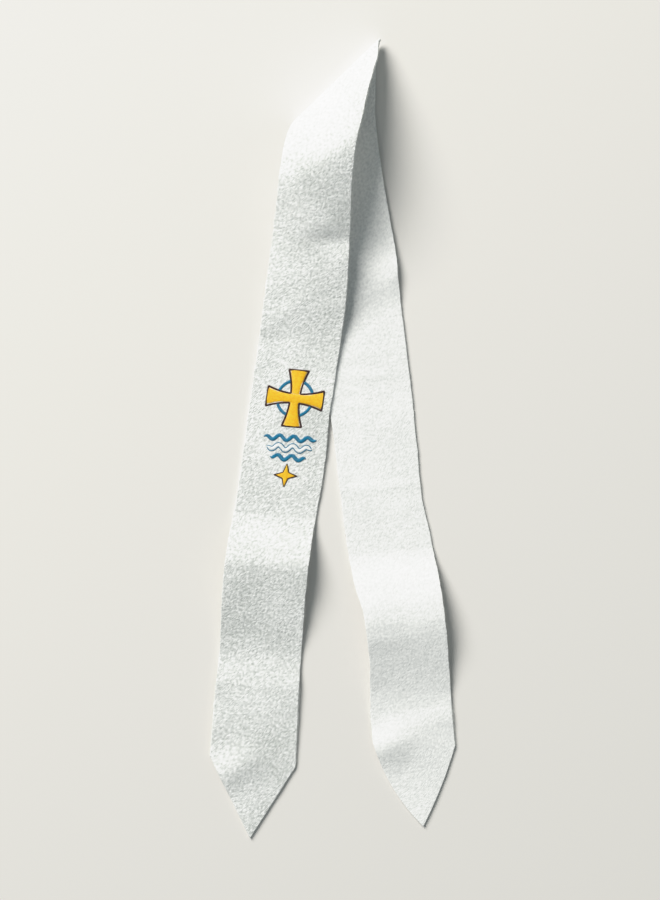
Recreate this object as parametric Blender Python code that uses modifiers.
"""Baptismal stole of white felt, laid down folded at the neck.

The stole is two pointed felt strips that meet in a slanting seam at the back of the neck.
It is folded along that seam: the front strip shows its outer face and lies over the back
strip, which shows its plain inner face. The neck stands up as a soft loop, the back strip
arches a little below it, and both strips keep one rounded ridge across them from being packed.

Sizes are in millimetres, and the model is made in metres, with +Z up. Seen from above, the
pointed ends are towards -Y. A section is a line across a strip, from its left edge to its
right edge, and its rise is how far the felt's underside is above the surface it lies on.
"""

from collections import namedtuple

import bpy
import numpy as np

MM = 0.001

FELT_THICKNESS = 1.8
SEAM_GAP = 0.3

FOLD_LEFT = (-31.9, 293.8)
FOLD_RIGHT = (44.4, 367.4)
FOLD_RISE = 7.5
FRONT_SEAM_RISE = FOLD_RISE + SEAM_GAP / 2
BACK_SEAM_RISE = FOLD_RISE - SEAM_GAP / 2

LOOP_LEFT_RISE = 31.0
LOOP_RIGHT_RISE = 50.0
RIDGE_RISE = 15.5
ARCH_RISE = 8.6

CELLS_ACROSS = 12
CELLS_PER_SECTION = 4
CELLS_IN_POINT = 10

FELT_COLOUR = (0.80, 0.82, 0.79, 1.0)
FELT_ROUGHNESS = 0.95

Section = namedtuple("Section", "left_x left_y left_rise right_x right_y right_rise crown")
PointedEnd = namedtuple("PointedEnd", "left tip right left_bow right_bow")

# The front strip, from the neck seam to the last section above its point.
FRONT_SECTIONS = [
    Section(*FOLD_LEFT, FRONT_SEAM_RISE, *FOLD_RIGHT, FRONT_SEAM_RISE, 0.0),
    Section(-33.9, 291.6, 10.5, 43.0, 365.2, 10.5, 0.0),
    Section(-38.2, 285.0, 16.0, 41.9, 350.8, 18.5, 0.5),
    Section(-42.5, 273.0, 24.0, 38.4, 337.5, 28.0, 1.0),
    Section(-46.0, 255.5, LOOP_LEFT_RISE, 33.2, 317.5, 40.0, 2.0),
    Section(-48.5, 239.0, 30.2, 27.3, 290.5, 48.0, 3.0),
    Section(-50.0, 226.5, 27.3, 22.8, 272.0, LOOP_RIGHT_RISE, 4.0),
    Section(-51.5, 214.5, 23.3, 19.0, 247.0, 47.0, 4.5),
    Section(-53.0, 201.5, 18.3, 17.5, 220.5, 40.0, 5.0),
    Section(-54.5, 189.5, 14.0, 16.5, 194.0, 31.5, 5.0),
    Section(-56.0, 178.0, 11.0, 15.5, 171.0, 25.0, 4.0),
    Section(-62.0, 136.0, 6.0, 13.0, 128.5, 13.8, 1.0),
    Section(-68.5, 88.5, 1.2, 7.0, 82.0, 3.8, 0.0),
    Section(-73.0, 58.0, 0.3, 2.0, 50.5, 2.6, 0.0),
    Section(-77.5, 26.5, 0.0, -2.5, 19.5, 2.4, 0.0),
    Section(-82.5, -12.0, 0.0, -6.0, -17.5, 0.5, 0.0),
    Section(-90.7, -66.0, 0.0, -14.6, -71.5, 0.0, 0.0),
    Section(-92.1, -73.0, 1.2, -15.9, -78.5, 1.2, 0.0),
    Section(-97.0, -100.0, 12.6, -20.1, -105.5, 12.6, 0.0),
    Section(-98.8, -112.5, RIDGE_RISE, -21.6, -118.0, RIDGE_RISE, 0.0),
    Section(-99.8, -121.5, 14.6, -22.6, -127.0, 14.6, 0.0),
    Section(-102.5, -153.5, 8.3, -25.5, -159.0, 8.3, 0.0),
    Section(-104.0, -187.0, 1.3, -28.1, -192.5, 1.3, 0.0),
    Section(-104.8, -199.0, 0.2, -28.6, -204.0, 0.2, 0.0),
    Section(-107.5, -223.5, 3.4, -30.5, -228.5, 2.2, 0.0),
]
FRONT_POINT = PointedEnd((-113.0, -291.0), (-76.0, -367.5), (-33.5, -301.0), 0.0, 0.0)

# The back strip, which turns under at the seam, arches once and then lies on the surface.
BACK_SECTIONS = [
    Section(*FOLD_LEFT, BACK_SEAM_RISE, *FOLD_RIGHT, BACK_SEAM_RISE, 0.0),
    Section(-33.3, 292.1, 4.4, 43.3, 365.7, 4.4, 0.0),
    Section(-33.7, 289.2, 1.6, 42.7, 362.8, 1.6, 0.0),
    Section(-33.4, 285.6, 0.4, 42.1, 358.4, 0.4, 0.0),
    Section(-32.9, 281.0, 0.0, 41.5, 352.2, 0.0, 0.0),
    Section(-31.0, 269.0, 0.3, 40.2, 335.0, 0.3, 0.0),
    Section(-28.5, 252.0, 1.2, 39.6, 308.0, 1.0, 0.0),
    Section(-25.5, 227.5, 3.4, 42.5, 270.0, 2.4, 0.0),
    Section(-22.0, 200.0, 7.0, 50.0, 220.0, 6.0, 0.0),
    Section(-19.6, 178.0, ARCH_RISE, 55.8, 188.0, ARCH_RISE, 0.0),
    Section(-17.3, 157.0, 7.4, 59.1, 167.0, 7.4, 0.0),
    Section(-14.6, 131.0, 2.2, 61.7, 140.0, 2.0, 0.0),
    Section(-12.8, 114.5, 0.2, 63.7, 122.5, 0.2, 0.0),
    Section(-12.0, 107.5, 0.0, 64.5, 115.0, 0.0, 0.0),
    Section(-4.0, 36.0, 0.0, 73.0, 43.5, 0.0, 0.0),
    Section(2.5, -14.0, 0.0, 78.2, -6.5, 0.0, 0.0),
    Section(8.0, -58.0, 0.0, 82.0, -49.5, 0.0, 0.0),
    Section(12.5, -94.0, 0.0, 89.5, -84.5, 0.0, 0.0),
    Section(14.5, -106.0, 0.0, 92.1, -97.5, 0.0, 0.0),
    Section(16.0, -114.0, 1.2, 93.8, -105.5, 1.2, 0.0),
    Section(21.7, -140.0, 10.2, 98.9, -132.0, 10.2, 0.0),
    Section(27.6, -158.0, 14.6, 101.7, -150.0, 14.6, 0.0),
    Section(29.7, -170.0, RIDGE_RISE, 103.2, -162.0, RIDGE_RISE, 0.0),
    Section(31.2, -181.0, 14.4, 104.4, -173.0, 14.4, 0.0),
    Section(33.6, -206.0, 8.5, 106.6, -197.5, 8.5, 0.0),
    Section(34.4, -240.0, 1.3, 109.1, -232.5, 1.3, 0.0),
    Section(34.6, -252.0, 0.3, 109.8, -245.5, 0.3, 0.0),
]
BACK_POINT = PointedEnd((37.0, -278.0), (83.5, -356.5), (113.0, -281.5), 6.0, 1.9)


def clear_scene():
    """Remove whatever the scene holds before the model is made."""
    for obj in list(bpy.data.objects):
        bpy.data.objects.remove(obj, do_unlink=True)


def through_rows(at, values, where):
    """A smooth curve through every row that never swings past one.

    Between two rows it is a cubic. Its slope at a row is the harmonic mean of the slopes on
    both sides, or level where the rows turn from rising to falling.
    """
    span = np.diff(at)
    slope = np.diff(values) / span
    before = slope[:-1]
    after = slope[1:]
    same_way = before * after > 0
    total = np.where(same_way, before + after, 1.0)
    inner = np.where(same_way, 2 * before * after / total, 0.0)
    tangent = np.concatenate(([slope[0]], inner, [slope[-1]]))
    row = np.clip(np.searchsorted(at, where, side="right") - 1, 0, len(span) - 1)
    f = (where - at[row]) / span[row]
    start = (1 + 2 * f) * (1 - f) ** 2 * values[row] + f * (1 - f) ** 2 * span[row] * tangent[row]
    end = f ** 2 * (3 - 2 * f) * values[row + 1] - f ** 2 * (1 - f) * span[row] * tangent[row + 1]
    return start + end


def pointed_cut(point, across):
    """Points along the two slanting cuts, from the left corner by the tip to the right one.

    Each cut is a straight line plus its bow, which grows outwards from it as a parabola.
    """
    corners = np.array((point.left, point.tip, point.right))
    line = np.stack([np.interp(across, (0.0, 0.5, 1.0), corners[:, i]) for i in (0, 1)], axis=1)
    heading = np.diff(corners, axis=0)
    heading /= np.linalg.norm(heading, axis=1, keepdims=True)
    outward = np.stack((heading[:, 1], -heading[:, 0]), axis=1)
    cut = np.where(across < 0.5, 0, 1)
    to_corner = np.abs(2 * across - 1)
    bow = np.array((point.left_bow, point.right_bow))[cut] * 4 * to_corner * (1 - to_corner)
    flat = line + outward[cut] * bow[:, None]
    return np.concatenate((flat, np.zeros((len(across), 1))), axis=1)


def strip_middle(sections, point):
    """Points of a strip's middle layer, as an array of rows, columns and x, y, z.

    Rows run from the neck seam to the pointed end, and columns from the left edge to the
    right edge. A section's crown lifts its middle in a shallow arch. Past the last section
    the rows bend little by little into the two slanting cuts of the point.
    """
    rows = np.array(sections)
    left = rows[:, 0:3]
    right = rows[:, 3:6]
    middle = (left + right) / 2
    steps = np.linalg.norm(np.diff(middle, axis=0), axis=1)
    at = np.concatenate(([0.0], np.cumsum(steps)))
    parts = np.arange(CELLS_PER_SECTION) / CELLS_PER_SECTION
    where = np.append((at[:-1, None] + steps[:, None] * parts).ravel(), at[-1])
    smooth = np.stack([through_rows(at, rows[:, i], where) for i in range(rows.shape[1])], axis=1)

    across = np.linspace(0.0, 1.0, CELLS_ACROSS + 1)
    u = across[None, :, None]
    body = smooth[:, None, 0:3] * (1 - u) + smooth[:, None, 3:6] * u
    body[:, :, 2] += smooth[:, 6:7] * (1 - (2 * across - 1) ** 2)

    cut = pointed_cut(point, across)
    share = np.arange(1, CELLS_IN_POINT + 1)[:, None, None] / CELLS_IN_POINT
    end = body[-1][None] * (1 - share) + cut[None] * share
    surface = np.concatenate((body, end))
    surface[:, :, 2] += FELT_THICKNESS / 2
    return surface


def felt_material(name):
    """Matt white felt: no shine, and a colour just off white."""
    material = bpy.data.materials.new(name)
    material.use_nodes = True
    shader = material.node_tree.nodes["Principled BSDF"]
    shader.inputs["Base Color"].default_value = FELT_COLOUR
    shader.inputs["Roughness"].default_value = FELT_ROUGHNESS
    shader.inputs["Metallic"].default_value = 0.0
    return material


def felt_strip(name, surface, collection):
    """A grid laid over the surface's points, with Solidify giving the felt's thickness.

    The grid's first row of points lies on the pointed end, so its faces look up.
    """
    row_count, column_count, _ = surface.shape
    bpy.ops.mesh.primitive_grid_add(
        x_subdivisions=column_count - 1, y_subdivisions=row_count - 1, size=1.0)
    strip = bpy.context.object
    strip.name = name
    strip.data.name = name
    flat = np.empty(len(strip.data.vertices) * 3)
    strip.data.vertices.foreach_get("co", flat)
    flat = flat.reshape(-1, 3) + 0.5
    column = np.rint(flat[:, 0] * (column_count - 1)).astype(int)
    row = np.rint((1 - flat[:, 1]) * (row_count - 1)).astype(int)
    strip.data.vertices.foreach_set("co", (surface[row, column] * MM).ravel())
    strip.data.shade_smooth()
    strip.data.update()
    wall = strip.modifiers.new("felt thickness", "SOLIDIFY")
    wall.thickness = FELT_THICKNESS * MM
    wall.offset = 0.0
    strip.data.materials.append(felt_material(name + "_felt"))
    for owner in list(strip.users_collection):
        owner.objects.unlink(strip)
    collection.objects.link(strip)
    return strip


def build_stole():
    """Both strips, moved together so that their plan is centred on the origin."""
    collection = bpy.data.collections.new("baptismal_stole")
    bpy.context.scene.collection.children.link(collection)
    surfaces = {
        "front_strip": strip_middle(FRONT_SECTIONS, FRONT_POINT),
        "back_strip": strip_middle(BACK_SECTIONS, BACK_POINT),
    }
    points = np.concatenate([surface.reshape(-1, 3) for surface in surfaces.values()])
    centre = (points.min(axis=0) + points.max(axis=0)) / 2
    for name, surface in surfaces.items():
        surface[:, :, 0:2] -= centre[0:2]
        felt_strip(name, surface, collection)


clear_scene()
build_stole()
